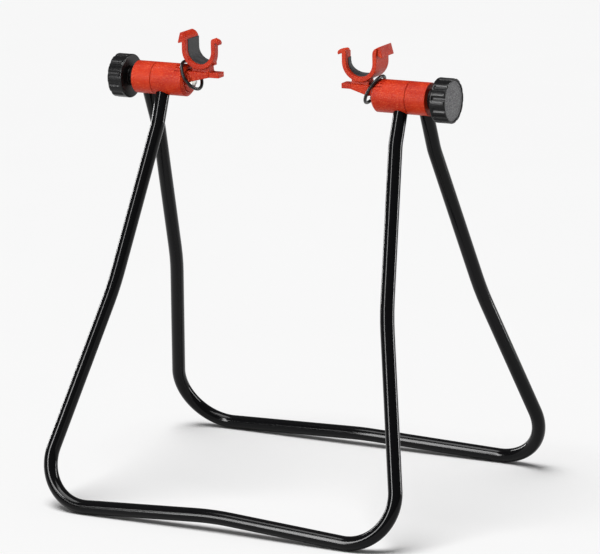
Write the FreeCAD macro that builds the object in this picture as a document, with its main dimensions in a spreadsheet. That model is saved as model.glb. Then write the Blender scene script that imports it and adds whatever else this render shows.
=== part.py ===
import FreeCAD, Part
import math
import os
import re
import Sketcher

# Bike repair stand: two U-shaped bent steel tubes hinged together at two coaxial hubs, each hub
# clamped by a hand knob on a through bolt and carrying a swivelling clip that cradles the bike's
# stay.  Millimetres, +Z up, X across the stand, Y fore and aft.  The origin is on the floor, midway
# between the hubs.  The front tube leans towards -Y and the rear tube towards +Y.

SIZES = [
    ("hub_height", 371.5, "hub axis above the floor"),
    ("front_lean", 22.3, "front frame's angle from upright, degrees"),
    ("rear_lean", 22.3, "rear frame's angle from upright, degrees"),
    ("tube_radius", 6.35, "outside radius of both leg tubes"),
    ("tube_wall", 1.2, "wall of both leg tubes"),
    ("front_top_run", 39.2, "front leg's straight run below the hub axis"),
    ("rear_top_run", 49.5, "rear leg's straight run below the hub axis"),
    ("middle_run", 133.9, "leg's straight run between its two slight bends"),
    ("upper_bend", 62.0, "centre line radius of the first slight bend"),
    ("lower_bend", 280.0, "centre line radius of the second slight bend"),
    ("upper_splay", 6.65, "leg's angle after the first bend, degrees"),
    ("lower_splay", 12.8, "leg's angle after the second bend, degrees"),
    ("front_corner", 41.5, "centre line radius of the front corners"),
    ("rear_corner", 47.0, "centre line radius of the rear corners"),
    ("front_rise", 3.3, "slope of the front foot bar towards its middle, degrees"),
    ("rear_rise", 2.1, "slope of the rear foot bar towards its middle, degrees"),
    ("bar_arch", 311.0, "centre line radius of the arch in a foot bar's middle"),
    ("socket_roof", 6.4, "height of the housing above a leg tube's open end"),
    ("inner_seat_wall", 1.4, "inner housing's wall between the front leg and the seam"),
    ("outer_seat_wall", 1.15, "outer housing's wall between the rear leg and the washer"),
    ("socket_gap", 0.1, "clearance round and over a tube in its housing"),
    ("hub_radius", 14.8, "outside radius of the hub housings"),
    ("hub_inner", 94.6, "inner end face of a hub"),
    ("inner_length", 33.25, "length of the inner housing"),
    ("seam_gap", 0.3, "gap between the two housings"),
    ("outer_length", 19.45, "length of the outer housing"),
    ("hub_chamfer", 2.2, "chamfer at the hub's inner end"),
    ("seam_chamfer", 0.3, "chamfer of the housings at the seam and at the outer end"),
    ("grip_groove_run", 10.0, "length of the grip grooves from the hub's inner end"),
    ("grip_groove_wide", 1.1, "width of a grip groove"),
    ("grip_groove_deep", 0.6, "depth of a grip groove"),
    ("grip_groove_start", 28.0, "first grip groove's angle from the front housing's top, degrees"),
    ("grip_groove_sweep", 42.0, "angle from the first grip groove to the last, degrees"),
    ("grip_groove_count", 4.0, "number of grip grooves"),
    ("bolt_radius", 3.0, "shank radius of the M6 through bolt"),
    ("bolt_pitch", 1.0, "thread pitch of the through bolt"),
    ("running_gap", 0.08, "radial clearance of a housing on the bolt"),
    ("loose_gap", 0.35, "radial clearance of tubes, discs and knob round the bolt"),
    ("head_flats", 10.0, "bolt head and nut, across flats"),
    ("head_thick", 4.0, "bolt head thickness"),
    ("nut_thick", 5.0, "nut thickness"),
    ("hex_gap", 0.1, "clearance at each flat of the head and the nut"),
    ("disc_margin", 4.8, "hub's radius beyond the friction disc"),
    ("disc_thick", 1.8, "thickness of the friction disc"),
    ("disc_gap", 0.4, "radial clearance round the friction disc"),
    ("flange_margin", 4.6, "hub's radius beyond the clip's pivot flange"),
    ("flange_sunk", 2.4, "depth the pivot flange sits in the hub's end"),
    ("flange_proud", 0.9, "height the pivot flange stands out of the hub's end"),
    ("flange_gap", 0.4, "radial clearance round the pivot flange"),
    ("washer_radius", 9.0, "radius of the steel thrust washer"),
    ("washer_thick", 1.6, "thickness of the thrust washer"),
    ("arm_top", 9.4, "top of the clip's arm above the hub axis"),
    ("arm_tip_run", 32.6, "arm tip from the hub's end"),
    ("arm_tip_low", 4.7, "underside of the arm's tip above the hub axis"),
    ("arm_root_low", -0.9, "underside of the arm at the hub's end"),
    ("arm_root_run", 4.3, "length of the arm's narrow root"),
    ("channel_web", 1.8, "arm's side wall beside the bolt head at the root"),
    ("arm_wide_half", 9.0, "half width of the arm where it is widest"),
    ("arm_waist_run", 22.4, "arm's shoulder from the hub's end"),
    ("arm_waist_half", 6.7, "half width of the arm at its shoulder"),
    ("arm_tip_half", 5.2, "half width of the arm's tip"),
    ("channel_run", 18.0, "length of the channel under the arm"),
    ("channel_roof_gap", 0.25, "clearance over the bolt head's corner"),
    ("foot_start", 5.6, "near end of the cradle's foot from the hub's end"),
    ("foot_end", 22.7, "far end of the cradle's foot from the hub's end"),
    ("foot_base_half", 5.6, "half width of the cradle's foot on the arm"),
    ("foot_top_half", 4.2, "half width of the cradle's foot under the cradle"),
    ("cradle_run", 13.7, "cradle axis from the hub's end, towards the stand's middle"),
    ("foot_rise", 2.8, "gap under the cradle, over the arm"),
    ("cradle_inside", 13.0, "inside radius of the cradle's rim"),
    ("cradle_wall", 4.0, "wall of the cradle"),
    ("cradle_front", 7.5, "cradle's front rim ahead of the hub axis"),
    ("cradle_deep", 25.0, "depth of the cradle from front to back"),
    ("cradle_back_run", 11.6, "start of the slanted back edge from the hub's end"),
    ("cradle_back_cut", 14.5, "depth the slanted edge takes off the middle-side wall"),
    ("hub_leg_rise", 8.6, "hub-side leg above the cradle axis"),
    ("middle_leg_rise", 9.2, "middle-side leg above the cradle axis"),
    ("barb_reach", 5.2, "barb's reach beyond the hub-side leg"),
    ("barb_rise", 6.5, "barb's height above the hub-side leg"),
    ("barb_drop", 3.3, "barb's drop below the hub-side leg's end"),
    ("barb_setback", 2.0, "barb's front end behind the rim"),
    ("hook_reach", 4.2, "hook's reach beyond the middle-side leg"),
    ("hook_rise", 2.4, "hook's height above the middle-side leg"),
    ("hook_drop", 3.2, "hook tip's drop below the middle-side leg's end"),
    ("hook_deep", 9.0, "depth of the hook from front to back"),
    ("nub_radius", 1.3, "radius of the band stop on the cradle's outside"),
    ("nub_deep", 6.0, "depth of the band stop from front to back"),
    ("liner_thick", 1.6, "thickness of the rubber liner"),
    ("liner_proud", 0.4, "liner's height above the rim's inside"),
    ("liner_setback", 4.6, "liner's front edge behind the rim"),
    ("liner_hub_rise", 9.0, "liner's hub-side end above the cradle axis"),
    ("liner_middle_rise", 3.4, "liner's middle-side end above the cradle axis"),
    ("band_margin", 0.8, "hub's radius beyond the rubber retaining band's centre line"),
    ("band_cord", 1.5, "cord radius of the retaining band"),
    ("band_run", 2.3, "band centre from the hub's end, towards the stand's middle"),
    ("band_over", 2.28, "highest point of the band's centre line over the hub"),
    ("band_tilt", 30.0, "band's lean out over the hub, degrees"),
    ("boss_length", 5.6, "length of the knob's boss, from the washer to the grip"),
    ("knob_length", 14.7, "length of the knob's grip"),
    ("knob_radius", 20.0, "outside radius of the knob"),
    ("boss_radius", 9.0, "radius of the knob's boss"),
    ("knob_rim", 1.8, "plain rim at the knob's inner end"),
    ("knob_chamfer", 1.0, "chamfer of the knob's edges"),
    ("flute_count", 12.0, "number of flutes round the knob"),
    ("flute_radius", 3.2, "radius of a flute"),
    ("flute_deep", 1.2, "depth of a flute"),
    ("cap_radius", 17.8, "radius of the knob's cap"),
    ("cap_thick", 2.4, "thickness of the knob's cap"),
    ("cap_gap", 0.1, "clearance round the knob's cap"),
    ("nut_start", 1.6, "nut pocket's floor from the knob grip's inner face"),
    ("well_radius", 7.5, "radius of the well between the nut and the cap"),
    ("bolt_tip_gap", 2.6, "gap between the bolt's end and the knob's cap"),
]

# Lengths and places that follow from the sizes above, as expressions.
DERIVED = {
    "inner_end": "hub_inner + inner_length",
    "outer_start": "inner_end + seam_gap",
    "outer_end": "outer_start + outer_length",
    "washer_end": "outer_end + washer_thick",
    "front_leg_x": "inner_end - inner_seat_wall - socket_gap - tube_radius",
    "rear_leg_x": "outer_end - outer_seat_wall - socket_gap - tube_radius",
    "tube_end": "hub_radius - socket_roof",
    "disc_radius": "hub_radius - disc_margin",
    "flange_radius": "hub_radius - flange_margin",
    "arm_root_half": "head_flats / 2 + hex_gap + channel_web",
    "head_corner": "(head_flats / 2) / cos(30)",
    "cradle_outside": "cradle_inside + cradle_wall",
    "cradle_rise": "arm_top + foot_rise + cradle_outside",
    "cradle_back": "cradle_deep - cradle_front",
    "liner_inside": "cradle_inside - liner_proud",
    "liner_outside": "liner_inside + liner_thick",
    "band_radius": "hub_radius - band_margin",
    "band_rise": "hub_radius + band_over - band_radius * cos(band_tilt)",
    "knob_inner": "washer_end + boss_length",
    "knob_end": "knob_inner + knob_length",
    "cap_face": "knob_end - cap_thick",
    "bolt_tip": "cap_face - bolt_tip_gap",
    "nut_floor": "knob_inner + nut_start",
}

doc = FreeCAD.newDocument("bike_repair_stand")
sheet = doc.addObject("Spreadsheet::Sheet", "Sizes")
for row, (alias, value, note) in enumerate(SIZES, start=1):
    sheet.set("A%d" % row, note)
    sheet.set("B%d" % row, repr(value))
    sheet.setAlias("B%d" % row, alias)
doc.recompute()

ALIASES = {alias for alias, value, note in SIZES}


def bound(text):
    """The expression with derived lengths written out and every alias pointing at the sheet."""
    def written(word):
        if word[0] in DERIVED:
            return "(" + bound(DERIVED[word[0]]) + ")"
        return "Sizes." + word[0] if word[0] in ALIASES else word[0]
    return re.sub(r"[a-z_]+", written, str(text))


def num(text):
    """The expression's value now."""
    return float(sheet.evalExpression(bound(text)))


def tie(thing, path, text):
    thing.setExpression(path, bound(text))


def new_body(label):
    body = doc.addObject("PartDesign::Body", label)
    body.Label = label
    return body


def origin_part(body, role):
    return next(part for part in body.Origin.OriginFeatures if part.Role == role)


def new_sketch(body, name, role, offset="0"):
    """A sketch on one of the body's origin planes, moved along the plane's normal by offset."""
    sketch = body.newObject("Sketcher::SketchObject", name)
    sketch.AttachmentSupport = (origin_part(body, role), "")
    sketch.MapMode = "FlatFace"
    tie(sketch, "AttachmentOffset.Base.z", offset)
    return sketch


def hold(sketch, kind, *where):
    """Adds a constraint whose last item is an expression, and binds it to the sheet."""
    value = math.radians(num(where[-1])) if kind == "Angle" else num(where[-1])
    index = sketch.addConstraint(Sketcher.Constraint(kind, *where[:-1], value))
    name = "size_%d" % index
    sketch.renameConstraint(index, name)
    tie(sketch, "Constraints." + name, where[-1])


def place(sketch, element, point, across, up):
    hold(sketch, "DistanceX", -1, 1, element, point, across)
    hold(sketch, "DistanceY", -1, 1, element, point, up)


def outline(sketch, corners):
    """A closed polygon, each corner given by two expressions."""
    at = [FreeCAD.Vector(num(across), num(up), 0) for across, up in corners]
    lines = [sketch.addGeometry(Part.LineSegment(at[i - 1], at[i])) for i in range(len(at))]
    for i, (across, up) in enumerate(corners):
        following = lines[(i + 1) % len(lines)]
        sketch.addConstraint(Sketcher.Constraint("Coincident", lines[i], 2, following, 1))
        place(sketch, lines[i], 2, across, up)


def rectangle(sketch, left, low, right, high):
    outline(sketch, [(left, low), (right, low), (right, high), (left, high)])


def circle(sketch, across, up, radius):
    centre = FreeCAD.Vector(num(across), num(up), 0)
    round_line = Part.Circle(centre, FreeCAD.Vector(0, 0, 1), num(radius))
    element = sketch.addGeometry(round_line)
    place(sketch, element, 3, across, up)
    hold(sketch, "Radius", element, radius)


def half_round(sketch, across, up, radius):
    """A half disc below the level called up."""
    left = "%s - (%s)" % (across, radius)
    right = "%s + (%s)" % (across, radius)
    centre = FreeCAD.Vector(num(across), num(up), 0)
    full = Part.Circle(centre, FreeCAD.Vector(0, 0, 1), num(radius))
    arc = sketch.addGeometry(Part.ArcOfCircle(full, math.pi, 2 * math.pi))
    ends = [FreeCAD.Vector(num(side), num(up), 0) for side in (right, left)]
    chord = sketch.addGeometry(Part.LineSegment(*ends))
    sketch.addConstraint(Sketcher.Constraint("Coincident", arc, 2, chord, 1))
    sketch.addConstraint(Sketcher.Constraint("Coincident", chord, 2, arc, 1))
    place(sketch, arc, 1, left, up)
    place(sketch, arc, 2, right, up)
    hold(sketch, "DistanceY", -1, 1, arc, 3, up)


def pad(body, name, sketch, length, backwards=False):
    feature = body.newObject("PartDesign::Pad", name)
    feature.Profile = sketch
    tie(feature, "Length", length)
    feature.Reversed = backwards
    return feature


def pocket(body, name, sketch, length=None, backwards=False):
    """Cuts against the sketch's normal, or along it if backwards; through everything with no length."""
    feature = body.newObject("PartDesign::Pocket", name)
    feature.Profile = sketch
    if length is None:
        feature.Type = "ThroughAll"
    else:
        tie(feature, "Length", length)
    feature.Reversed = backwards
    return feature


def turned(body, name, corners, side):
    """A revolution about X of a polygon whose corners are (distance along the hub, radius)."""
    sketch = new_sketch(body, name + "Outline", "XY_Plane")
    outline(sketch, [(outward(side, along), radius) for along, radius in corners])
    feature = body.newObject("PartDesign::Revolution", name)
    feature.Profile = sketch
    feature.ReferenceAxis = (origin_part(body, "X_Axis"), [""])
    feature.Angle = 360.0
    return feature


def outward(side, along):
    """A place along X on the right (side 1) or the left (side -1)."""
    return "%d * (%s)" % (side, along)


def inward(side, run):
    """A place along X measured from the hub's inner end towards the stand's middle."""
    return "%d * (hub_inner - (%s))" % (side, run)


def hexagon(sketch, flats):
    """A hexagon round the origin with corners up and down."""
    corner = "((%s) / 2) / cos(30)" % flats
    outline(sketch, [("%s * sin(%d)" % (corner, turn), "%s * cos(%d)" % (corner, turn))
                     for turn in range(0, 360, 60)])


def along_x(side, start, end):
    """The lower X of the stretch from start to end on either side."""
    return outward(side, start if side > 0 else end)


def lift(thing, lean="0"):
    """Stands a piece modelled round the hub axis at the hub's height, leaning by an angle about X."""
    tie(thing, "Placement.Base.z", "hub_height")
    tie(thing, "Placement.Rotation.Axis.x", "1")
    tie(thing, "Placement.Rotation.Axis.y", "0")
    tie(thing, "Placement.Rotation.Axis.z", "0")
    tie(thing, "Placement.Rotation.Angle", lean)


# ---- bent leg tubes ---------------------------------------------------------------------------

def half_frame(sketch, leg_x, top_run, corner, rise, lean):
    """Half of a U frame's centre line, from the hub down the leg and along the bar to its middle."""
    lines = []
    spot = FreeCAD.Vector(num(leg_x), num("tube_end"), 0)
    heading = -90.0

    def straight(length):
        nonlocal spot
        step = FreeCAD.Vector(math.cos(math.radians(heading)), math.sin(math.radians(heading)), 0)
        end = spot + step * length
        lines.append((sketch.addGeometry(Part.LineSegment(spot, end)), 1, 2))
        spot = end

    def bend(radius, turn):
        nonlocal spot, heading
        way = math.copysign(1, turn)
        normal = math.radians(heading + 90 * way)
        centre = spot + FreeCAD.Vector(math.cos(normal), math.sin(normal), 0) * radius
        first = math.radians(heading - 90 * way)
        last = math.radians(heading - 90 * way + turn)
        full = Part.Circle(centre, FreeCAD.Vector(0, 0, 1), radius)
        arc = sketch.addGeometry(Part.ArcOfCircle(full, min(first, last), max(first, last)))
        lines.append((arc, 1, 2) if turn > 0 else (arc, 2, 1))
        spot = centre + FreeCAD.Vector(math.cos(last), math.sin(last), 0) * radius
        heading += turn

    depth = "(hub_height - tube_radius) / cos(%s)" % lean
    straight(num("tube_end + %s" % top_run))
    bend(num("upper_bend"), num("upper_splay"))
    straight(num("middle_run"))
    bend(num("lower_bend"), num("lower_splay - upper_splay"))
    drop = num(depth) - num(corner) - num(corner) * math.sin(math.radians(num("lower_splay"))) + spot.y
    straight(drop / math.cos(math.radians(num("lower_splay"))))
    bend(num(corner), num("-(90 + lower_splay + %s)" % rise))
    arch_start = num("bar_arch * sin(%s)" % rise)
    straight((spot.x - arch_start) / math.cos(math.radians(num(rise))))
    bend(num("bar_arch"), num(rise))

    for (before, start, end), (after, after_start, after_end) in zip(lines, lines[1:]):
        sketch.addConstraint(Sketcher.Constraint("Tangent", before, end, after, after_start))
    top, upper, middle, lower, leg, turn, bar, arch = [line[0] for line in lines]
    place(sketch, top, 1, leg_x, "tube_end")
    sketch.addConstraint(Sketcher.Constraint("Vertical", top))
    hold(sketch, "Distance", top, "tube_end + %s" % top_run)
    hold(sketch, "Radius", upper, "upper_bend")
    hold(sketch, "Angle", middle, "upper_splay - 90")
    hold(sketch, "Distance", middle, "middle_run")
    hold(sketch, "Radius", lower, "lower_bend")
    hold(sketch, "Angle", leg, "lower_splay - 90")
    hold(sketch, "Radius", turn, corner)
    hold(sketch, "DistanceY", -1, 1, turn, 3, "%s - %s" % (corner, depth))
    hold(sketch, "Angle", bar, "180 - %s" % rise)
    hold(sketch, "Radius", arch, "bar_arch")
    hold(sketch, "DistanceX", -1, 1, arch, 3, "0")
    hold(sketch, "DistanceX", -1, 1, arch, 2, "0")


def leg_tube(label, leg_x, top_run, corner, rise, lean, turn):
    body = new_body(label)
    path = new_sketch(body, "CentreLine", "XZ_Plane")
    half_frame(path, leg_x, top_run, corner, rise, lean)
    section = new_sketch(body, "Section", "XY_Plane", "tube_end")
    circle(section, leg_x, "0", "tube_radius")
    circle(section, leg_x, "0", "tube_radius - tube_wall")
    pipe = body.newObject("PartDesign::AdditivePipe", "BentHalf")
    pipe.Profile = section
    pipe.Spine = (path, [])
    whole = body.newObject("PartDesign::Mirrored", "BothHalves")
    whole.Originals = [pipe]
    whole.MirrorPlane = (origin_part(body, "YZ_Plane"), [""])
    body.Tip = whole
    bolt_hole = new_sketch(body, "BoltHole", "YZ_Plane")
    circle(bolt_hole, "0", "0", "bolt_radius + loose_gap")
    pocket(body, "CrossDrilling", bolt_hole).Midplane = True
    lift(body, turn)


leg_tube("front_leg_tube", "front_leg_x", "front_top_run", "front_corner", "front_rise",
         "front_lean", "-front_lean")
leg_tube("rear_leg_tube", "rear_leg_x", "rear_top_run", "rear_corner", "rear_rise",
         "rear_lean", "rear_lean")


# ---- hub housings -----------------------------------------------------------------------------

def tube_socket(body, side, leg_x):
    """The blind hole under a housing that the leg tube stands in."""
    mouth = new_sketch(body, "SocketMouth", "XY_Plane", "tube_end + socket_gap")
    circle(mouth, outward(side, leg_x), "0", "tube_radius + socket_gap")
    pocket(body, "Socket", mouth)


def inner_housing(side, name):
    body = new_body(name + "_inner_housing")
    bore = "bolt_radius + running_gap"
    turned(body, "Barrel", [
        ("hub_inner + flange_sunk", bore),
        ("hub_inner + flange_sunk", "flange_radius + flange_gap"),
        ("hub_inner", "flange_radius + flange_gap"),
        ("hub_inner", "hub_radius - hub_chamfer"),
        ("hub_inner + hub_chamfer", "hub_radius"),
        ("inner_end - seam_chamfer", "hub_radius"),
        ("inner_end", "hub_radius - seam_chamfer"),
        ("inner_end", bore)], side)
    tube_socket(body, side, "front_leg_x")
    groove = new_sketch(body, "GripGrooveOutline", "XY_Plane")
    floor = "(hub_radius - grip_groove_deep)"
    tie(groove, "AttachmentOffset.Rotation.Axis.x", "1")
    tie(groove, "AttachmentOffset.Rotation.Axis.z", "0")
    tie(groove, "AttachmentOffset.Rotation.Angle", "grip_groove_start")
    tie(groove, "AttachmentOffset.Base.y", "-sin(grip_groove_start) * " + floor)
    tie(groove, "AttachmentOffset.Base.z", "cos(grip_groove_start) * " + floor)
    rectangle(groove, outward(side, "hub_inner - 1"), "-grip_groove_wide / 2",
              outward(side, "hub_inner + grip_groove_run"), "grip_groove_wide / 2")
    cut = pocket(body, "GripGroove", groove, "hub_radius", backwards=True)
    row = body.newObject("PartDesign::PolarPattern", "GripGrooves")
    row.Originals = [cut]
    row.Axis = (origin_part(body, "X_Axis"), [""])
    tie(row, "Angle", "grip_groove_sweep")
    tie(row, "Occurrences", "grip_groove_count")
    body.Tip = row
    lift(body, "-front_lean")


def outer_housing(side, name):
    body = new_body(name + "_outer_housing")
    bore = "bolt_radius + running_gap"
    disc_seat = "inner_end + disc_thick"
    turned(body, "Barrel", [
        (disc_seat, bore),
        (disc_seat, "disc_radius + disc_gap"),
        ("outer_start", "disc_radius + disc_gap"),
        ("outer_start", "hub_radius - seam_chamfer"),
        ("outer_start + seam_chamfer", "hub_radius"),
        ("outer_end - seam_chamfer", "hub_radius"),
        ("outer_end", "hub_radius - seam_chamfer"),
        ("outer_end", bore)], side)
    tube_socket(body, side, "rear_leg_x")
    lift(body, "rear_lean")


def plain_ring(label, side, start, end, inside, outside, lean="0"):
    """A flat disc or washer round the bolt."""
    body = new_body(label)
    turned(body, "Disc", [(start, inside), (start, outside), (end, outside), (end, inside)], side)
    lift(body, lean)


# ---- through bolt and clip --------------------------------------------------------------------

def through_bolt(side, name):
    body = new_body(name + "_through_bolt")
    turned(body, "Shank", [
        ("hub_inner - flange_proud", "0"),
        ("hub_inner - flange_proud", "bolt_radius"),
        ("bolt_tip - bolt_pitch / 2", "bolt_radius"),
        ("bolt_tip", "bolt_radius - bolt_pitch / 2"),
        ("bolt_tip", "0")], side)
    head_start = along_x(side, "hub_inner - flange_proud - head_thick", "hub_inner - flange_proud")
    head = new_sketch(body, "HeadOutline", "YZ_Plane", head_start)
    hexagon(head, "head_flats")
    pad(body, "Head", head, "head_thick")
    lift(body)


def cradle_shape(body, side, name, inside, outside, front, depth, hub_rise, middle_rise):
    """A U-shaped trough along Y: a half round wall with a straight leg up from each end."""
    centre = inward(side, "cradle_run")
    bottom = new_sketch(body, name + "BottomOutline", "XZ_Plane", front)
    half_round(bottom, centre, "cradle_rise", outside)
    pad(body, name + "Bottom", bottom, depth, backwards=True)
    legs = ((-1, "HubLeg", hub_rise), (1, "MiddleLeg", middle_rise))
    for way, leg, rise in legs:
        sketch = new_sketch(body, name + leg + "Outline", "XZ_Plane", front)
        near = inward(side, "cradle_run + %d * (%s)" % (way, inside))
        far = inward(side, "cradle_run + %d * (%s)" % (way, outside))
        rectangle(sketch, near, "cradle_rise - 1", far, "cradle_rise + " + rise)
        pad(body, name + leg, sketch, depth, backwards=True)
    hollow = new_sketch(body, name + "HollowOutline", "XZ_Plane", front)
    half_round(hollow, centre, "cradle_rise", inside)
    pocket(body, name + "Hollow", hollow, depth)


def back_cut(body, side):
    """Slants the cradle's back edge forwards over the middle-side leg."""
    plan = new_sketch(body, "BackCutOutline", "XY_Plane", "arm_top + 0.5")
    wall = "cradle_run + cradle_outside"
    middle_end = "cradle_back - cradle_back_cut - cradle_wall"
    outline(plan, [(inward(side, "cradle_back_run"), "cradle_back"),
                   (inward(side, wall), middle_end),
                   (inward(side, wall + " + hook_reach + 1"), middle_end),
                   (inward(side, wall + " + hook_reach + 1"), "cradle_back + 1"),
                   (inward(side, "cradle_back_run"), "cradle_back + 1")])
    pocket(body, "BackCut", plan, backwards=True)


def clip(side, name):
    body = new_body(name + "_clip")
    bore = "bolt_radius + running_gap"
    turned(body, "Flange", [
        ("hub_inner + flange_sunk", bore),
        ("hub_inner + flange_sunk", "flange_radius"),
        ("hub_inner - flange_proud", "flange_radius"),
        ("hub_inner - flange_proud", bore)], side)

    plan = new_sketch(body, "ArmPlan", "XY_Plane", "arm_root_low")
    near_side = [("flange_proud", "arm_root_half"), ("arm_root_run", "arm_root_half"),
                 ("arm_root_run", "arm_wide_half"), ("arm_waist_run", "arm_waist_half"),
                 ("arm_waist_run + 1", "arm_tip_half + 0.3"),
                 ("arm_tip_run", "arm_tip_half")]
    mirrored = [(run, "-(%s)" % half) for run, half in reversed(near_side)]
    outline(plan, [(inward(side, run), half) for run, half in near_side + mirrored])
    pad(body, "Arm", plan, "arm_top - arm_root_low")
    belly = new_sketch(body, "ArmBelly", "XZ_Plane")
    outline(belly, [(inward(side, "0"), "arm_root_low"), (inward(side, "arm_waist_run"), "arm_tip_low"),
                    (inward(side, "arm_tip_run + 1"), "arm_tip_low"),
                    (inward(side, "arm_tip_run + 1"), "arm_root_low - 1"),
                    (inward(side, "0"), "arm_root_low - 1")])
    pocket(body, "ArmBellyCut", belly).Midplane = True
    channel = new_sketch(body, "HeadChannel", "XY_Plane", "head_corner + channel_roof_gap")
    rectangle(channel, inward(side, "flange_proud"), "-(head_flats / 2 + hex_gap)",
              inward(side, "channel_run"), "head_flats / 2 + hex_gap")
    pocket(body, "HeadChannelCut", channel)

    foot_place = along_x(side, "hub_inner - foot_end", "hub_inner - foot_start")
    foot = new_sketch(body, "CradleFootEnd", "YZ_Plane", foot_place)
    foot_top = "cradle_rise - cradle_inside"
    outline(foot, [("-foot_base_half", "arm_top - 0.5"), ("foot_base_half", "arm_top - 0.5"),
                   ("foot_top_half", foot_top), ("-foot_top_half", foot_top)])
    pad(body, "CradleFoot", foot, "foot_end - foot_start")
    cradle_shape(body, side, "Cradle", "cradle_inside", "cradle_outside", "cradle_front", "cradle_deep",
                 "hub_leg_rise", "middle_leg_rise")
    cradle_tips(body, side)
    back_cut(body, side)
    liner_front = "cradle_front - liner_setback"
    liner_depth = "cradle_deep - liner_setback"
    seat = new_sketch(body, "LinerSeatBottom", "XZ_Plane", liner_front)
    half_round(seat, inward(side, "cradle_run"), "cradle_rise", "liner_outside")
    pocket(body, "LinerSeatBottomCut", seat, liner_depth)
    for way, rise in ((-1, "liner_hub_rise"), (1, "liner_middle_rise")):
        wall = new_sketch(body, "LinerSeatLeg", "XZ_Plane", liner_front)
        rectangle(wall, inward(side, "cradle_run"), "cradle_rise - 1",
                  inward(side, "cradle_run + %d * liner_outside" % way), "cradle_rise + " + rise)
        pocket(body, "LinerSeatLegCut", wall, liner_depth)
    lift(body)


def cradle_tips(body, side):
    """The barb on the hub side and the hook on the middle side, which hold the band, and its stop."""
    root = "cradle_rise + hub_leg_rise"
    shoulder = [("cradle_inside", root + " - 0.4"),
                ("cradle_inside + cradle_wall * 0.08", root + " + barb_rise * 0.25"),
                ("cradle_inside + cradle_wall * 0.3", root + " + barb_rise * 0.5"),
                ("cradle_inside + cradle_wall * 0.62", root + " + barb_rise * 0.71")]
    rim_end = shoulder + [("cradle_outside - 0.1", root + " + barb_rise * 0.78"),
                          ("cradle_outside + 0.5", root + " + barb_rise * 0.5"),
                          ("cradle_outside", root + " - 0.4")]
    barb_end = shoulder + [("cradle_outside + 0.2", root + " + barb_rise * 0.88"),
                           ("cradle_outside + barb_reach / 2", root + " + barb_rise"),
                           ("cradle_outside + barb_reach", root + " - barb_drop + 0.4"),
                           ("cradle_outside + barb_reach - 1.3", root + " - barb_drop"),
                           ("cradle_outside - 0.5", root + " - barb_drop / 2")]
    rim = new_sketch(body, "RimEndOutline", "XZ_Plane", "cradle_front")
    outline(rim, [(inward(side, "cradle_run - (%s)" % out), up) for out, up in rim_end])
    pad(body, "RimEnd", rim, "barb_setback + 1", backwards=True)
    barb = new_sketch(body, "BarbOutline", "XZ_Plane", "cradle_front - barb_setback")
    outline(barb, [(inward(side, "cradle_run - (%s)" % out), up) for out, up in barb_end])
    pad(body, "Barb", barb, "cradle_deep - barb_setback", backwards=True)
    hook = new_sketch(body, "HookOutline", "XZ_Plane", "cradle_front")
    root = "cradle_rise + middle_leg_rise"
    hook_corners = [("cradle_inside", root + " - 0.4"), ("cradle_inside + 0.5", root + " + hook_rise * 0.7"),
                    ("cradle_inside + cradle_wall / 2", root + " + hook_rise"),
                    ("cradle_outside + 1.4", root + " + hook_rise * 0.8"),
                    ("cradle_outside + hook_reach - 0.9", root + " + hook_rise * 0.25"),
                    ("cradle_outside + hook_reach", root + " - hook_drop * 0.35"),
                    ("cradle_outside + hook_reach - 0.4", root + " - hook_drop"),
                    ("cradle_outside + hook_reach - 1.8", root + " - hook_drop * 0.85"),
                    ("cradle_outside + 1.6", root + " - hook_drop * 0.45"),
                    ("cradle_outside - 0.5", root + " - hook_drop * 0.5")]
    outline(hook, [(inward(side, "cradle_run + %s" % out), up) for out, up in hook_corners])
    pad(body, "Hook", hook, "hook_deep", backwards=True)
    nub = new_sketch(body, "BandStopOutline", "XZ_Plane", "nub_deep / 2")
    reach = "(cradle_outside + nub_radius * 0.4)"
    circle(nub, inward(side, "cradle_run + %s * cos(45)" % reach),
           "cradle_rise - %s * sin(45)" % reach, "nub_radius")
    pad(body, "BandStop", nub, "nub_deep", backwards=True)


def clip_liner(side, name):
    body = new_body(name + "_clip_liner")
    cradle_shape(body, side, "Liner", "liner_inside", "liner_outside", "cradle_front - liner_setback",
                 "cradle_deep - liner_setback", "liner_hub_rise", "liner_middle_rise")
    back_cut(body, side)
    lift(body)


def retaining_band(side, name):
    band = doc.addObject("Part::Torus", name + "_retaining_band")
    band.Label = name + "_retaining_band"
    tie(band, "Radius1", "band_radius")
    tie(band, "Radius2", "band_cord")
    tie(band, "Placement.Base.x", inward(side, "band_run"))
    tie(band, "Placement.Base.z", "hub_height + band_rise")
    tie(band, "Placement.Rotation.Axis.x", "0")
    tie(band, "Placement.Rotation.Axis.y", "1")
    tie(band, "Placement.Rotation.Axis.z", "0")
    tie(band, "Placement.Rotation.Angle", "%d * (band_tilt - 90)" % side)


# ---- hand knob --------------------------------------------------------------------------------

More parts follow.
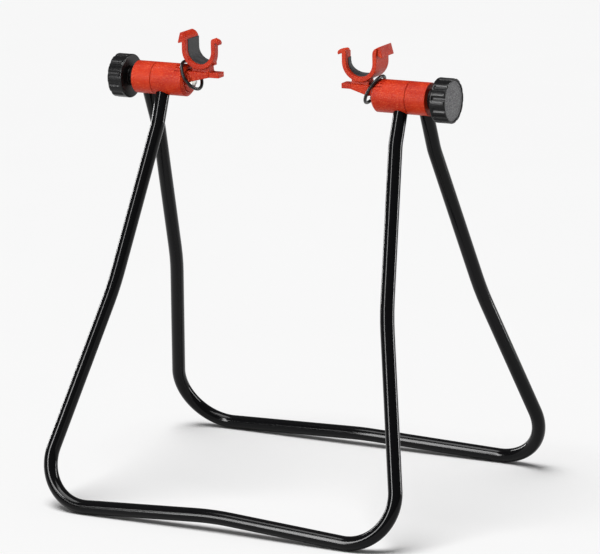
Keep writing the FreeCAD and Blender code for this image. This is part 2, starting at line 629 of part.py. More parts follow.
def knob(side, name):
    body = new_body(name + "_knob")
    turned(body, "Grip", [
        ("washer_end", "bolt_radius + loose_gap"),
        ("washer_end", "boss_radius"),
        ("knob_inner", "boss_radius"),
        ("knob_inner", "knob_radius - knob_chamfer"),
        ("knob_inner + knob_chamfer", "knob_radius"),
        ("knob_end - knob_chamfer", "knob_radius"),
        ("knob_end", "knob_radius - knob_chamfer"),
        ("knob_end", "cap_radius + cap_gap"),
        ("cap_face", "cap_radius + cap_gap"),
        ("cap_face", "well_radius"),
        ("nut_floor + nut_thick", "well_radius"),
        ("nut_floor + nut_thick", "bolt_radius + loose_gap")], side)
    flute_start = along_x(side, "knob_inner + knob_rim", "knob_end + 1")
    flute = new_sketch(body, "FluteOutline", "YZ_Plane", flute_start)
    circle(flute, "0", "knob_radius + flute_radius - flute_deep", "flute_radius")
    cut = pocket(body, "Flute", flute, "knob_length - knob_rim + 1", backwards=True)
    flutes = body.newObject("PartDesign::PolarPattern", "Flutes")
    flutes.Originals = [cut]
    flutes.Axis = (origin_part(body, "X_Axis"), [""])
    flutes.Angle = 360.0
    tie(flutes, "Occurrences", "flute_count")
    body.Tip = flutes
    nut_start = along_x(side, "nut_floor", "nut_floor + nut_thick")
    seat = new_sketch(body, "NutSeatOutline", "YZ_Plane", nut_start)
    hexagon(seat, "head_flats + 2 * hex_gap")
    pocket(body, "NutSeat", seat, "nut_thick", backwards=True)
    lift(body)


def knob_nut(side, name):
    body = new_body(name + "_knob_nut")
    nut_start = along_x(side, "nut_floor", "nut_floor + nut_thick")
    section = new_sketch(body, "NutOutline", "YZ_Plane", nut_start)
    hexagon(section, "head_flats")
    circle(section, "0", "0", "bolt_radius + running_gap")
    pad(body, "Nut", section, "nut_thick")
    lift(body)


def knob_cap(side, name):
    body = new_body(name + "_knob_cap")
    turned(body, "Cap", [("cap_face", "0"), ("cap_face", "cap_radius"), ("knob_end", "cap_radius"),
                         ("knob_end", "0")], side)
    lift(body)


for side, name in ((-1, "left"), (1, "right")):
    inner_housing(side, name)
    outer_housing(side, name)
    plain_ring(name + "_friction_disc", side, "inner_end", "inner_end + disc_thick",
               "bolt_radius + loose_gap", "disc_radius", "-front_lean")
    through_bolt(side, name)
    clip(side, name)
    clip_liner(side, name)
    retaining_band(side, name)
    plain_ring(name + "_thrust_washer", side, "outer_end", "washer_end",
               "bolt_radius + loose_gap", "washer_radius")
    knob(side, name)
    knob_nut(side, name)
    knob_cap(side, name)

doc.recompute()

pieces = [thing for thing in doc.Objects if thing.TypeId in ("PartDesign::Body", "Part::Torus")]
failed = [thing.Name for thing in doc.Objects if "Invalid" in thing.State or "Error" in thing.State]
if failed:
    raise RuntimeError("failed objects: " + ", ".join(failed))
for piece in pieces:
    if piece.Shape.isNull() or not piece.Shape.isValid() or len(piece.Shape.Solids) != 1:
        raise RuntimeError("bad shape: %s, %d solids" % (piece.Label, len(piece.Shape.Solids)))

os.makedirs("parts", exist_ok=True)
for piece in pieces:
    piece.Shape.exportStep("parts/%s.step" % piece.Label)
    print("%-24s %10.1f mm3" % (piece.Label, piece.Shape.Volume))
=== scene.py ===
import bmesh
import bpy
import math
from mathutils import Matrix, Vector


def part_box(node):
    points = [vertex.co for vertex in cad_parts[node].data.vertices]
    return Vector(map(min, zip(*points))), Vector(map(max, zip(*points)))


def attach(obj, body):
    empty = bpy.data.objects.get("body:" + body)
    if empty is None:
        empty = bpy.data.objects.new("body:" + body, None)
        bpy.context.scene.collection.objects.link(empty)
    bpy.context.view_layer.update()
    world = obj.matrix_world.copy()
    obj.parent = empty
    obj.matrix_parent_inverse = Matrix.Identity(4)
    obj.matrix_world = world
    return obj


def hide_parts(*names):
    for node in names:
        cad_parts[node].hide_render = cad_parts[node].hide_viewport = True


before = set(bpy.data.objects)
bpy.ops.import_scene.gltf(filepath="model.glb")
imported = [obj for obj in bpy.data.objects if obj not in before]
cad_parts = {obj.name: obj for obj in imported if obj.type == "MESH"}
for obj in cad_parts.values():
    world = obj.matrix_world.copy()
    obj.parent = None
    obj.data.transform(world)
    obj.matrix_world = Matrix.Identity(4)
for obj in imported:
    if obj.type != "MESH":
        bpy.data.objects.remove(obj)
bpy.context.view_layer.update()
for leftover in [thing for thing in bpy.data.objects if thing.type in ("CAMERA", "LIGHT")]:
    bpy.data.objects.remove(leftover)


# ---- leg tubes ---------------------------------------------------------------------------------
# Two U frames, each bent from one length of 12.7 mm steel tube and finished in gloss black enamel.
# Each tube has two slight bends in a leg, a tight corner at each foot and a foot bar whose middle
# arches up off the floor.  The open ends stand in the hub housings.

class Wire:
    """A node's output; arithmetic on it adds Math nodes to its tree."""

    def __init__(self, board, socket):
        self.board = board
        self.socket = socket

    def maths(self, operation, *others):
        inputs = dict(enumerate((self,) + others))
        return self.board.add("ShaderNodeMath", {"operation": operation}, inputs)

    def __add__(self, other):
        return self.maths("ADD", other)

    def __radd__(self, other):
        return self.maths("ADD", other)

    def __sub__(self, other):
        return self.maths("SUBTRACT", other)

    def __rsub__(self, other):
        return self.board.add("ShaderNodeMath", {"operation": "SUBTRACT"}, {0: other, 1: self})

    def __mul__(self, other):
        return self.maths("MULTIPLY", other)

    def __rmul__(self, other):
        return self.maths("MULTIPLY", other)

    def __truediv__(self, other):
        return self.maths("DIVIDE", other)

    def __rtruediv__(self, other):
        return self.board.add("ShaderNodeMath", {"operation": "DIVIDE"}, {0: other, 1: self})

    def most(self, other):
        return self.maths("MAXIMUM", other)

    def root(self):
        return self.maths("SQRT")

    def step(self, start, end):
        """0 before start, 1 after end and smooth between them."""
        return self.board.add("ShaderNodeMapRange", {"interpolation_type": "SMOOTHSTEP"},
                              {"Value": self, "From Min": start, "From Max": end})


class Board:
    """A node tree that grows one node at a time."""

    def __init__(self, tree):
        self.tree = tree

    def add(self, kind, settings=None, inputs=None, out=0):
        """One output of a new node with the settings and the sockets' values or links given."""
        node = self.tree.nodes.new(kind)
        for name, value in (settings or {}).items():
            if name == "stops":
                while len(node.color_ramp.elements) < len(value):
                    node.color_ramp.elements.new(0.5)
                for stop, (place, shade) in zip(node.color_ramp.elements, value):
                    stop.position = place
                    stop.color = (*shade, 1.0)
            else:
                setattr(node, name, value)
        for key, value in (inputs or {}).items():
            socket = node.inputs[key]
            if isinstance(value, Wire):
                self.tree.links.new(value.socket, socket)
            else:
                socket.default_value = value
        return Wire(self, node.outputs[out])

    def place(self):
        """The point's Object coordinates."""
        return self.add("ShaderNodeTexCoord", out="Object")

    def axes(self, vector):
        """A vector's X, Y and Z."""
        split = self.tree.nodes.new("ShaderNodeSeparateXYZ")
        self.tree.links.new(vector.socket, split.inputs[0])
        return [Wire(self, output) for output in split.outputs]

    def noise(self, where, scale, detail=3.0, roughness=0.55):
        return self.add("ShaderNodeTexNoise", {},
                        {"Vector": where, "Scale": scale, "Detail": detail, "Roughness": roughness})

    def specks(self, where, scale):
        """Distance to the nearest of many scattered points, in cells."""
        return self.add("ShaderNodeTexVoronoi", {}, {"Vector": where, "Scale": scale})

    def stretched(self, where, scale):
        return self.add("ShaderNodeMapping", {}, {"Vector": where, "Scale": scale})

    def blended(self, share, under, over):
        """Two colours mixed by a share."""
        return self.add("ShaderNodeMix", {"data_type": "RGBA"}, {0: share, 6: under, 7: over}, out=2)

    def bumped(self, height, strength, distance):
        return self.add("ShaderNodeBump", {},
                        {"Strength": strength, "Distance": distance, "Height": height})


def finish_named(name):
    """A new material, its node board and the Principled shader's inputs."""
    material = bpy.data.materials.new(name)
    material.use_nodes = True
    board = Board(material.node_tree)
    return material, board, material.node_tree.nodes["Principled BSDF"].inputs


def feed(inputs, **values):
    """Sets or links the shader's sockets; an underscore in a name stands for a space."""
    for name, value in values.items():
        socket = inputs[name.replace("_", " ")]
        if isinstance(value, Wire):
            value.board.tree.links.new(value.socket, socket)
        else:
            socket.default_value = value


def black_enamel():
    """Gloss stove enamel: slight orange peel, dust, and scuffs where the bars stand on the floor."""
    material, board, shader = finish_named("black_enamel")
    where = board.place()
    height = board.axes(where)[2]
    peel = board.noise(where, 420.0, 2.0)
    cloud = board.noise(where, 38.0, 4.0)
    dust = 1.0 - board.specks(where, 620.0).step(0.05, 0.16)
    dust = dust * cloud.step(0.50, 0.72)
    scuff = (1.0 - height.step(0.0003, 0.0024)) * board.noise(where, 900.0, 4.0).step(0.42, 0.60)
    wear = (dust * 0.35).most(scuff * 0.8)
    feed(shader, Base_Color=board.blended(wear, (0.0018, 0.0018, 0.0021, 1), (0.08, 0.078, 0.075, 1)),
         Roughness=cloud * 0.04 + 0.10 + wear * 0.30, Specular_IOR_Level=0.145,
         Normal=board.bumped(peel + wear * 0.6, 0.02, 0.0004))
    return material


def added(name, mesh, material):
    """An object at the origin for a finished mesh, with one material and smooth faces."""
    mesh.materials.clear()
    mesh.materials.append(material)
    mesh.shade_smooth()
    piece = bpy.data.objects.new(name, mesh)
    bpy.context.scene.collection.objects.link(piece)
    return piece


def stands_for(piece, node, body):
    """Hides the CAD node behind its finished piece, which rides on its body."""
    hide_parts(node)
    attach(piece, body)


def made_plain(source, name, material):
    """The evaluated object as a plain mesh on a new object; the source is removed."""
    bpy.context.view_layer.update()
    ready = source.evaluated_get(bpy.context.evaluated_depsgraph_get())
    mesh = bpy.data.meshes.new_from_object(ready)
    bpy.data.objects.remove(source)
    mesh.name = name
    return added(name, mesh, material)


def group_with(name, sockets):
    """A Geometry Nodes group with a geometry input and output and the named inputs given."""
    group = bpy.data.node_groups.new(name, "GeometryNodeTree")
    group.interface.new_socket("Geometry", in_out="INPUT", socket_type="NodeSocketGeometry")
    group.interface.new_socket("Geometry", in_out="OUTPUT", socket_type="NodeSocketGeometry")
    for title, kind in sockets:
        group.interface.new_socket(title, in_out="INPUT", socket_type=kind)
    board = Board(group)
    entry = group.nodes.new("NodeGroupInput")
    given = {socket.name: Wire(board, socket) for socket in entry.outputs if socket.name}
    return group, board, given


def close_group(group, board, shape, given):
    """Ends a group in Realize Instances and Set Material."""
    real = board.add("GeometryNodeRealizeInstances", {}, {0: shape})
    dressed = board.add("GeometryNodeSetMaterial", {}, {"Geometry": real, "Material": given["Material"]})
    group.links.new(dressed.socket, group.nodes.new("NodeGroupOutput").inputs[0])


def run_group(source, group, values):
    """Puts the group on an object and sets its inputs by their sockets' identifiers."""
    modifier = source.modifiers.new(group.name, "NODES")
    modifier.node_group = group
    for item in group.interface.items_tree:
        if item.in_out == "INPUT" and item.name in values:
            modifier[item.identifier] = values[item.name]


def tube_group():
    """Sweeps a round tube along a curve and closes its ends."""
    group, board, given = group_with("BentTube", [("Tube Radius", "NodeSocketFloat"),
                                                  ("Sides", "NodeSocketInt"),
                                                  ("Material", "NodeSocketMaterial")])
    ring = board.add("GeometryNodeCurvePrimitiveCircle", {},
                     {"Resolution": given["Sides"], "Radius": given["Tube Radius"]})
    tube = board.add("GeometryNodeCurveToMesh", {},
                     {"Curve": given["Geometry"], "Profile Curve": ring, "Fill Caps": True})
    close_group(group, board, tube, given)
    return group


hub_low, hub_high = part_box("right_friction_disc")
HUB_Z = (hub_low.z + hub_high.z) / 2
TUBE_RADIUS = 0.00635
TUBE_TOP = 0.0084
LEG_LEAN = 22.3
UPPER_SPLAY = math.radians(6.65)
LOWER_SPLAY = math.radians(12.8)
UPPER_BEND = 0.062
MIDDLE_RUN = 0.1339
LOWER_BEND = 0.280
BAR_ARCH = 0.311
LINE_STEP = 0.003
TURN_STEP = math.radians(2.5)


def half_line(leg_x, top_run, corner, rise, lean):
    """Points of half a frame's centre line, from the tube's end down the leg to the bar's middle."""
    spot = Vector((leg_x, TUBE_TOP))
    heading = math.radians(-90)
    points = [spot]

    def straight(length):
        steps = max(1, round(length / LINE_STEP))
        for _ in range(steps):
            points.append(points[-1] + Vector((math.cos(heading), math.sin(heading))) * length / steps)

    def bend(radius, turn):
        nonlocal heading
        steps = max(3, round(abs(turn) / TURN_STEP))
        for _ in range(steps):
            heading += turn / steps / 2
            chord = 2 * radius * math.sin(abs(turn) / steps / 2)
            points.append(points[-1] + Vector((math.cos(heading), math.sin(heading))) * chord)
            heading += turn / steps / 2

    straight(TUBE_TOP + top_run)
    bend(UPPER_BEND, UPPER_SPLAY)
    straight(MIDDLE_RUN)
    bend(LOWER_BEND, LOWER_SPLAY - UPPER_SPLAY)
    depth = (HUB_Z - TUBE_RADIUS) / math.cos(lean)
    drop = depth - corner - corner * math.sin(LOWER_SPLAY) + points[-1].y
    straight(drop / math.cos(LOWER_SPLAY))
    bend(corner, -(math.radians(90) + LOWER_SPLAY + rise))
    straight((points[-1].x - BAR_ARCH * math.sin(rise)) / math.cos(rise))
    bend(BAR_ARCH, rise)
    return points


def leg_frame(node, body, leg_x, top_run, corner, rise, side):
    """The whole bent tube, leaning to one side (-1 to the front, 1 to the rear) of the hub axis."""
    tilt = math.radians(LEG_LEAN)
    half = half_line(leg_x, top_run, corner, math.radians(rise), tilt)
    line = half + [Vector((-spot.x, spot.y)) for spot in reversed(half[:-1])]
    curve = bpy.data.curves.new(node, "CURVE")
    curve.dimensions = "3D"
    spline = curve.splines.new("POLY")
    spline.points.add(len(line) - 1)
    for point, spot in zip(spline.points, line):
        point.co = (spot.x, -side * spot.y * math.sin(tilt), HUB_Z + spot.y * math.cos(tilt), 1.0)
    source = bpy.data.objects.new(node, curve)
    bpy.context.scene.collection.objects.link(source)
    run_group(source, tube_sweep, {"Tube Radius": TUBE_RADIUS, "Sides": 48, "Material": enamel})
    stands_for(made_plain(source, node + "_bent", enamel), node, body)


enamel = black_enamel()
tube_sweep = tube_group()
leg_frame("front_leg_tube", "front_frame", leg_x=0.120, top_run=0.0392, corner=0.0415, rise=3.3, side=-1)
leg_frame("rear_leg_tube", "rear_frame", leg_x=0.140, top_run=0.0495, corner=0.047, rise=2.1, side=1)


# ---- hub housings ------------------------------------------------------------------------------
# Injection moulded nylon barrels in red-orange with a fine spark-eroded grain, two to a hub: the
# inner one holds the front tube's end and the outer one the rear tube's.  Grooves give the fingers
# a hold at the inner end, and a chamfer runs round the seam.

def red_plastic():
    """Moulded nylon with a fine grain, slight flow streaks and rubbed, paler patches; pale orange specks in
    the colour are painted glints on the grain.
    """
    material, board, shader = finish_named("red_plastic")
    where = board.place()
    grain = board.noise(where, 2400.0, 3.0, 0.6)
    pits = board.specks(where, 1150.0)
    flow = board.noise(board.stretched(where, (1.0, 0.35, 1.0)), 55.0, 4.0)
    rub = board.noise(where, 310.0, 5.0).step(0.56, 0.74)
    # Mask of pale orange specks that are painted glints on the grain, not pigment.
    painted_glint = board.noise(where, 1350.0, 2.0).step(0.54, 0.68)
    fresh = board.blended(flow.step(0.3, 0.7), (0.255, 0.0072, 0.0008, 1), (0.335, 0.0160, 0.0014, 1))
    worn = board.blended(rub * 0.25, fresh, (0.54, 0.055, 0.012, 1))
    # The base colour mixes in the painted glint specks.
    feed(shader, Base_Color=board.blended(painted_glint * 0.30, worn, (0.86, 0.20, 0.07, 1)),
         Roughness=grain * 0.16 + rub * 0.08 - painted_glint * 0.06 + 0.30, Specular_IOR_Level=0.12,
         Normal=board.bumped(grain * 0.6 + pits * 1.0 + rub * 0.3, 0.50, 0.0003))
    return material


MERGE_DISTANCE = 0.000002
FLAT_ANGLE = math.radians(0.5)


def copied(node):
    """A merged copy of a CAD piece's mesh, with the triangles of its flat faces joined."""
    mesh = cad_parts[node].data.copy()
    shape = bmesh.new()
    shape.from_mesh(mesh)
    bmesh.ops.remove_doubles(shape, verts=shape.verts, dist=MERGE_DISTANCE)
    bmesh.ops.dissolve_limit(shape, angle_limit=FLAT_ANGLE, verts=shape.verts, edges=shape.edges)
    shape.to_mesh(mesh)
    shape.free()
    if mesh.attributes.get("custom_normal"):
        mesh.attributes.remove(mesh.attributes["custom_normal"])
    return mesh


def with_edges(node, name, material, width, body):
    """A CAD piece with its sharp edges rounded to a width, riding on a body."""
    piece = added(name, copied(node), material)
    edges = piece.modifiers.new("Edges", "BEVEL")
    edges.width = width
    edges.segments = 3
    edges.limit_method = "ANGLE"
    edges.angle_limit = math.radians(35)
    edges.harden_normals = True
    stands_for(made_plain(piece, name, material), node, body)


def moulded(node, name, material, voxel, passes, body):
    """A CAD piece rebuilt as one soft-edged skin, as it leaves the mould, riding on a body."""
    piece = added(name, copied(node), material)
    skin = piece.modifiers.new("Skin", "REMESH")
    skin.mode = "VOXEL"
    skin.voxel_size = voxel
    skin.use_smooth_shade = True
    soften = piece.modifiers.new("Soften", "SMOOTH")
    soften.factor = 0.5
    soften.iterations = passes
    stands_for(made_plain(piece, name, material), node, body)


SIDES = {"left": -1, "right": 1}
red = red_plastic()
for side in SIDES:
    with_edges(side + "_inner_housing", side + "_inner_barrel", red, 0.0004, "front_frame")
    with_edges(side + "_outer_housing", side + "_outer_barrel", red, 0.0003, "rear_frame")


# ---- friction discs ----------------------------------------------------------------------------
# A flat ring of pressed fibre between the two housings of each hub.  It grips when the knob is
# tightened.

def friction_fibre():
    """Pressed brake fibre with brass flecks."""
    material, board, shader = finish_named("friction_fibre")
    where = board.place()
    fleck = 1.0 - board.specks(where, 1500.0).step(0.08, 0.2)
    feed(shader, Base_Color=board.blended(fleck, (0.09, 0.08, 0.07, 1), (0.42, 0.33, 0.18, 1)),
         Metallic=fleck * 0.7, Roughness=0.85 - fleck * 0.4,
         Normal=board.bumped(board.noise(where, 1800.0), 0.3, 0.0002))
    return material


fibre = friction_fibre()
for side in SIDES:
    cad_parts[side + "_friction_disc"].material_slots[0].material = fibre


# ---- bolts, washers and nuts -------------------------------------------------------------------
# An M6 zinc plated hexagon bolt held in the channel under each clip's arm, a blackened washer under
# the knob, whose near-black colour is also painted shade for the narrow gap between barrel and knob,
# and a zinc plated nut moulded into the knob.

def plated_steel():
    """Bright zinc with a faint yellow cast, fine turning lines and dull patches."""
    material, board, shader = finish_named("plated_steel")
    where = board.place()
    dull = board.noise(where, 260.0, 4.0).step(0.4, 0.7)
    lines = board.noise(board.stretched(where, (12.0, 1.0, 1.0)), 700.0, 2.0)
    feed(shader, Base_Color=board.blended(dull, (0.72, 0.71, 0.68, 1), (0.50, 0.48, 0.42, 1)),
         Metallic=1.0, Roughness=dull * 0.18 + lines * 0.12 + 0.16,
         Normal=board.bumped(lines, 0.12, 0.0002))
    return material


def blackened_steel():
    """Phosphated and oiled steel with worn specks; its near-black colour also stands in as painted shade
    for the gap the washer sits in.
    """
    material, board, shader = finish_named("blackened_steel")
    where = board.place()
    worn = board.noise(where, 900.0, 4.0).step(0.55, 0.75)
    # Near-black base colour: blackened steel, and painted shade for the gap between barrel and knob.
    feed(shader, Base_Color=board.blended(worn, (0.022, 0.022, 0.024, 1), (0.16, 0.155, 0.15, 1)),
         Metallic=0.6, Roughness=0.48 - worn * 0.15,
         Normal=board.bumped(board.noise(where, 1500.0), 0.15, 0.0002))
    return material


steel = plated_steel()
dark_steel = blackened_steel()
for side in SIDES:
    with_edges(side + "_through_bolt", side + "_hexagon_bolt", steel, 0.00035, side + "_cradle_arm")
    with_edges(side + "_thrust_washer", side + "_plain_washer", dark_steel, 0.0002, side + "_washer")
    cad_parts[side + "_knob_nut"].material_slots[0].material = steel


# ---- clips -------------------------------------------------------------------------------------
# One moulding each in the hubs' red-orange nylon: a pivot flange, an arm with the bolt head's
# channel under it, and a U-shaped cradle whose ends are shaped to hold the rubber band.

for side in SIDES:
    moulded(side + "_clip", side + "_clip_moulding", red, 0.00032, 3, side + "_cradle_arm")


# ---- clip liners -------------------------------------------------------------------------------
# Soft grey rubber pads moulded to the cradle's inside.  They grip the bike's stay and keep its paint
# from harm.

def grey_rubber():
    """Matt rubber with a fine tooth and pale bloom."""
    material, board, shader = finish_named("grey_rubber")
    where = board.place()
    tooth = board.noise(where, 2200.0, 3.0)
    bloom = board.noise(where, 120.0, 4.0).step(0.45, 0.75)
    feed(shader, Base_Color=board.blended(bloom, (0.014, 0.014, 0.015, 1), (0.030, 0.029, 0.031, 1)),
         Roughness=bloom * 0.12 + 0.62, Specular_IOR_Level=0.3,
         Normal=board.bumped(tooth, 0.3, 0.0002))
    return material


rubber = grey_rubber()
for side in SIDES:
    moulded(side + "_clip_liner", side + "_liner_pad", rubber, 0.00028, 2, side + "_cradle_arm")


# ---- retaining bands ---------------------------------------------------------------------------
# A moulded ring of black rubber cord on each clip.  At rest it lies round the arm's root and leans
# out over the hub; in use it is pulled over the cradle's mouth.

def black_rubber():
    """Smooth moulded rubber, slightly shiny, with talc dust."""
    material, board, shader = finish_named("black_rubber")
    where = board.place()
    talc = board.noise(where, 450.0, 5.0).step(0.52, 0.72)
    feed(shader, Base_Color=board.blended(talc * 0.5, (0.0040, 0.0040, 0.0040, 1), (0.03, 0.03, 0.03, 1)),
         Roughness=talc * 0.25 + 0.34, Specular_IOR_Level=0.25,
         Normal=board.bumped(board.noise(where, 1600.0), 0.15, 0.0002))
    return material


CORD_RADIUS = 0.0015
BAND_TILT = math.radians(30)
BAND_POINTS = 120
BAND_NARROWING = 0.10
cord_rubber = black_rubber()
for side, way in SIDES.items():
    low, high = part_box(side + "_retaining_band")
    centre = (low + high) / 2
    reach = (high.y - low.y) / 2 - CORD_RADIUS
    curve = bpy.data.curves.new(side + "_rubber_band", "CURVE")
    curve.dimensions = "3D"
    spline = curve.splines.new("POLY")
    spline.points.add(BAND_POINTS - 1)
    spline.use_cyclic_u = True
    for k, point in enumerate(spline.points):
        turn = math.tau * k / BAND_POINTS
        rise = reach * math.cos(turn)
        narrow = 1.0 - BAND_NARROWING * max(0.0, -math.cos(turn)) ** 2
        point.co = (centre.x + way * rise * math.sin(BAND_TILT), reach * narrow * math.sin(turn),
                    centre.z + rise * math.cos(BAND_TILT), 1.0)
    source = bpy.data.objects.new(side + "_rubber_band", curve)
    bpy.context.scene.collection.objects.link(source)
    run_group(source, tube_sweep, {"Tube Radius": CORD_RADIUS, "Sides": 24, "Material": cord_rubber})
    band = made_plain(source, side + "_rubber_band", cord_rubber)
    stands_for(band, side + "_retaining_band", side + "_cradle_arm")


# ---- knobs -------------------------------------------------------------------------------------
# Twelve-lobed hand knobs moulded in black nylon.  The flutes stop short of a smooth rim at the hub
# side, and a boss under the grip bears on the washer.

def black_plastic():
    """Black nylon, polished by hands on the lobes and dusty in the flutes."""
    material, board, shader = finish_named("black_plastic")
    where = board.place()
    across, up = board.axes(where)[1:]
    level = up - HUB_Z
    reach = (across * across + level * level).root()
    polish = reach.step(0.0188, 0.0199)
    grain = board.noise(where, 1900.0, 3.0)
    dust = (1.0 - polish) * board.noise(where, 500.0, 5.0).step(0.5, 0.75)
    feed(shader, Base_Color=board.blended(dust * 0.2, (0.0030, 0.0030, 0.0033, 1),
                                          (0.035, 0.035, 0.035, 1)),
         Roughness=0.25 - polish * 0.06 + dust * 0.2 + grain * 0.08, Specular_IOR_Level=0.18,
         Normal=board.bumped(grain, 0.16, 0.0002))
    return material


def fluted_group():
    """Cuts scooped flutes into a turned knob round the hub axis; they run out towards its rim."""
    group, board, given = group_with("FlutedKnob", [("Flutes", "NodeSocketFloat"),
                                                    ("Scoop Radius", "NodeSocketFloat"),
                                                    ("Scoop Centre", "NodeSocketFloat"),
                                                    ("Ridge Softness", "NodeSocketFloat"),
                                                    ("Rim End", "NodeSocketFloat"),
                                                    ("Runout", "NodeSocketFloat"),
                                                    ("Runout Lift", "NodeSocketFloat"),
                                                    ("Hub Height", "NodeSocketFloat"),
                                                    ("Material", "NodeSocketMaterial")])
    along, across, up = board.axes(board.add("GeometryNodeInputPosition"))
    level = up - given["Hub Height"]
    reach = (across * across + level * level).root()
    turn = across.maths("ARCTAN2", level)
    pitch = math.tau / given["Flutes"]
    local = (turn + pitch / 2.0).maths("WRAP", pitch / 2.0, pitch * -0.5)
    offset = given["Scoop Centre"] * local.maths("SINE")
    inside = (given["Scoop Radius"] * given["Scoop Radius"] - offset * offset).most(0.0)
    scoop = given["Scoop Centre"] * local.maths("COSINE") - inside.root()
    distance = along.maths("ABSOLUTE")
    runout = 1.0 - (distance - given["Rim End"]).step(0.0, given["Runout"])
    scoop = scoop + runout * given["Runout Lift"]
    cut = reach.maths("SMOOTH_MIN", scoop, given["Ridge Softness"])
    ratio = cut / reach.most(0.0001)
    place = board.add("ShaderNodeCombineXYZ", {},
                      {0: along, 1: across * ratio, 2: given["Hub Height"] + level * ratio})
    moved = board.add("GeometryNodeSetPosition", {}, {"Geometry": given["Geometry"], "Position": place})
    close_group(group, board, moved, given)
    return group


def turned_mesh(name, outline, sides):
    """A lathe shape about the hub axis from (X, radius) stations, each a ring or a pole."""
    shape = bmesh.new()
    rings = []
    for along, radius in outline:
        turns = [math.tau * k / sides for k in range(sides if radius else 1)]
        rings.append([shape.verts.new((along, radius * math.sin(turn), HUB_Z + radius * math.cos(turn)))
                      for turn in turns])
    for near, far in zip(rings, rings[1:]):
        for k in range(sides):
            after = (k + 1) % sides
            corners = [near[k % len(near)], near[after % len(near)]]
            corners += [far[after % len(far)], far[k % len(far)]]
            shape.faces.new(list(dict.fromkeys(corners)))
    bmesh.ops.recalc_face_normals(shape, faces=shape.faces)
    mesh = bpy.data.meshes.new(name)
    shape.to_mesh(mesh)
    shape.free()
    return mesh


STATION_RUN = 0.0009


def rounded_outline(corners, steps=5):
    """Corners (X, radius, rounding) as stations, each corner turned into an arc and runs split."""
    stations = []
    for i, (along, radius, soft) in enumerate(corners):
        here = Vector((along, radius))
        if soft == 0 or i in (0, len(corners) - 1):
            stations.append(here)
            continue
        back = (Vector(corners[i - 1][:2]) - here).normalized()
        ahead = (Vector(corners[i + 1][:2]) - here).normalized()
        for k in range(steps + 1):
            share = k / steps
            start, end = here + back * soft, here + ahead * soft
            stations.append(start * (1 - share) ** 2 + here * 2 * share * (1 - share) + end * share ** 2)
    split = [stations[0]]
    for before, after in zip(stations, stations[1:]):
        count = max(1, math.ceil((after - before).length / STATION_RUN))
        split += [before.lerp(after, (k + 1) / count) for k in range(count)]
    return [(p.x, p.y if abs(p.y) > 1e-6 else 0.0) for p in split]


def ends_along_axis(node):
    """A hub piece's nearest and furthest distance from the stand's middle plane."""
    low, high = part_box(node)
    return sorted((abs(low.x), abs(high.x)))


BOSS_LENGTH = 0.0056
BOSS_RADIUS = 0.009
GRIP_RADIUS = 0.020
RIM_WIDTH = 0.0018
BORE_RADIUS = 0.00335
NUT_POCKET_RADIUS = 0.0075
NUT_POCKET_FLOOR = 0.0122
CAP_RECESS_RADIUS = 0.0179
CAP_RECESS_DEPTH = 0.0024
knob_black = black_plastic()
knob_flutes = fluted_group()
for side, way in SIDES.items():
    start, end = ends_along_axis(side + "_knob")
    grip = start + BOSS_LENGTH
    recess = end - CAP_RECESS_DEPTH
    pocket = start + NUT_POCKET_FLOOR
    corners = [(start, BORE_RADIUS, 0), (start, BOSS_RADIUS, 0.0005), (grip, BOSS_RADIUS, 0.0006),
               (grip, GRIP_RADIUS, 0.0009), (end, GRIP_RADIUS, 0.0012), (end, CAP_RECESS_RADIUS, 0.0003),
               (recess, CAP_RECESS_RADIUS, 0.0002), (recess, NUT_POCKET_RADIUS, 0),
               (pocket, NUT_POCKET_RADIUS, 0), (pocket, BORE_RADIUS, 0), (start, BORE_RADIUS, 0)]
    outline = [(way * along, radius) for along, radius in rounded_outline(corners)]
    source = added(side + "_knob_blank", turned_mesh(side + "_knob_blank", outline, 288), knob_black)
    run_group(source, knob_flutes, {"Flutes": 12.0, "Scoop Radius": 0.0032, "Scoop Centre": 0.0220,
                                    "Ridge Softness": 0.0006, "Rim End": grip + RIM_WIDTH,
                                    "Runout": 0.0009, "Runout Lift": 0.0016,
                                    "Hub Height": HUB_Z, "Material": knob_black})
    knob = made_plain(source, side + "_lobed_knob", knob_black)
    stands_for(knob, side + "_knob", side + "_hand_knob")


# ---- knob caps ---------------------------------------------------------------------------------
# A black nylon disc snapped into each knob's end, moulded with a coarse grain.  Its face is slightly
# domed and steps down to a narrow rim.

def grained_black_plastic():
    """A coarse spark-eroded grain, with grey speckle painted into the colour as painted highlights where
    the grain catches the light.
    """
    material, board, shader = finish_named("grained_black_plastic")
    where = board.place()
    pits = board.specks(where, 1050.0)
    grain = board.noise(where, 900.0, 4.0, 0.7)
    # Grey speckle in the base colour: painted highlights on the grain.
    feed(shader, Base_Color=board.blended(grain.step(0.46, 0.60), (0.006, 0.006, 0.007, 1),
                                          (0.115, 0.114, 0.119, 1)),
         Roughness=0.44 - grain * 0.2, Specular_IOR_Level=0.35,
         Normal=board.bumped(pits + grain, 0.9, 0.0005))
    return material


CAP_RADIUS = 0.0178
CAP_RIM_DROP = 0.0006
cap_black = grained_black_plastic()
for side, way in SIDES.items():
    start, end = ends_along_axis(side + "_knob_cap")
    rim = end - CAP_RIM_DROP
    corners = [(start, 0, 0), (start, CAP_RADIUS, 0.0002), (rim, CAP_RADIUS, 0.0005), (rim, 0.0166, 0.0003),
               (end - 0.0004, 0.0150, 0.0020), (end, 0.0060, 0.0050), (end, 0, 0)]
    outline = [(way * along, radius) for along, radius in rounded_outline(corners)]
    cap = added(side + "_knob_disc", turned_mesh(side + "_knob_disc", outline, 144), cap_black)
    stands_for(cap, side + "_knob_cap", side + "_hand_knob")


# ---- floor, light and camera -------------------------------------------------------------------
# A plain white studio floor under a broad overhead light, with soft boxes that are flagged off the
# floor.  The camera stands well back, in front and to the right, a little above the hubs.

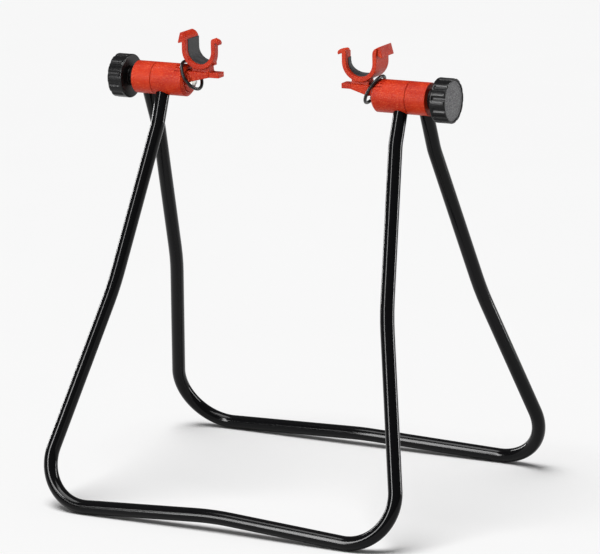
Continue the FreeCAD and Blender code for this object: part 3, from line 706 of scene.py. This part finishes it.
def floor_finish():
    """Matt white paper with faint clouds."""
    material, board, shader = finish_named("studio_floor")
    clouds = board.noise(board.place(), 3.0)
    feed(shader, Base_Color=board.blended(clouds, (0.95, 0.95, 0.95, 1), (0.97, 0.97, 0.97, 1)),
         Roughness=0.75)
    return material


ground = bmesh.new()
bmesh.ops.create_grid(ground, x_segments=1, y_segments=1, size=14.0)
ground_mesh = bpy.data.meshes.new("floor")
ground.to_mesh(ground_mesh)
ground.free()
floor = added("floor", ground_mesh, floor_finish())
floor_left_out = bpy.data.collections.new("floor_left_out")
floor_left_out.objects.link(floor)
floor_left_out.collection_objects[0].light_linking.link_state = "EXCLUDE"


def softbox(name, place, aim, width, tall, power):
    """A flagged soft light that falls on the stand and not on the floor."""
    lamp = bpy.data.lights.new(name, "AREA")
    lamp.shape = "RECTANGLE"
    lamp.size = width
    lamp.size_y = tall
    lamp.energy = power
    box = bpy.data.objects.new(name, lamp)
    box.location = place
    box.rotation_euler = (Vector(aim) - Vector(place)).to_track_quat("-Z", "Y").to_euler()
    box.light_linking.receiver_collection = floor_left_out
    bpy.context.scene.collection.objects.link(box)


skylight = bpy.data.lights.new("skylight", "SUN")
skylight.energy = 2.75
skylight.angle = math.radians(38)
ceiling = bpy.data.objects.new("skylight", skylight)
ceiling.rotation_euler = (math.radians(12), math.radians(-8), 0)
bpy.context.scene.collection.objects.link(ceiling)

hubs = (0.0, 0.0, 0.37)
legs = (0.0, 0.0, 0.25)
softbox("front", (-1.30, -2.35, 1.10), hubs, width=0.5, tall=0.16, power=6)
softbox("overhead", (0.15, -0.35, 1.25), hubs, width=0.45, tall=0.45, power=4)
softbox("right_strip", (1.74, 1.34, 0.8), legs, width=0.26, tall=1.8, power=46)
softbox("left_strip", (-0.98, -2.19, 1.05), legs, width=0.34, tall=2.1, power=62)
softbox("rear_strip", (-2.2, 0.6, 0.8), legs, width=0.2, tall=1.8, power=34)

world = bpy.data.worlds.new("studio")
world.use_nodes = True
world.node_tree.nodes["Background"].inputs["Color"].default_value = (1, 1, 1, 1)
world.node_tree.nodes["Background"].inputs["Strength"].default_value = 0.17
bpy.context.scene.world = world
bpy.context.scene.view_settings.view_transform = "Standard"

lens = bpy.data.cameras.new("camera")
lens.sensor_width = 36.0
lens.lens = 226.04
eye = bpy.data.objects.new("camera", lens)
eye_place = (1.5561, -2.9191, 1.0035)
azimuth, pitch, roll = 0.4860, 0.2391, -0.0202
level_ahead = Vector((-math.sin(azimuth), math.cos(azimuth), 0))
level_right = Vector((math.cos(azimuth), math.sin(azimuth), 0))
ahead = level_ahead * math.cos(pitch) - Vector((0, 0, math.sin(pitch)))
level_up = level_right.cross(ahead)
right = level_right * math.cos(roll) + level_up * math.sin(roll)
upward = level_up * math.cos(roll) - level_right * math.sin(roll)
turn = Matrix((right, upward, -ahead)).transposed()
eye.matrix_world = Matrix.Translation(eye_place) @ turn.to_4x4()
bpy.context.scene.collection.objects.link(eye)
bpy.context.scene.camera = eye
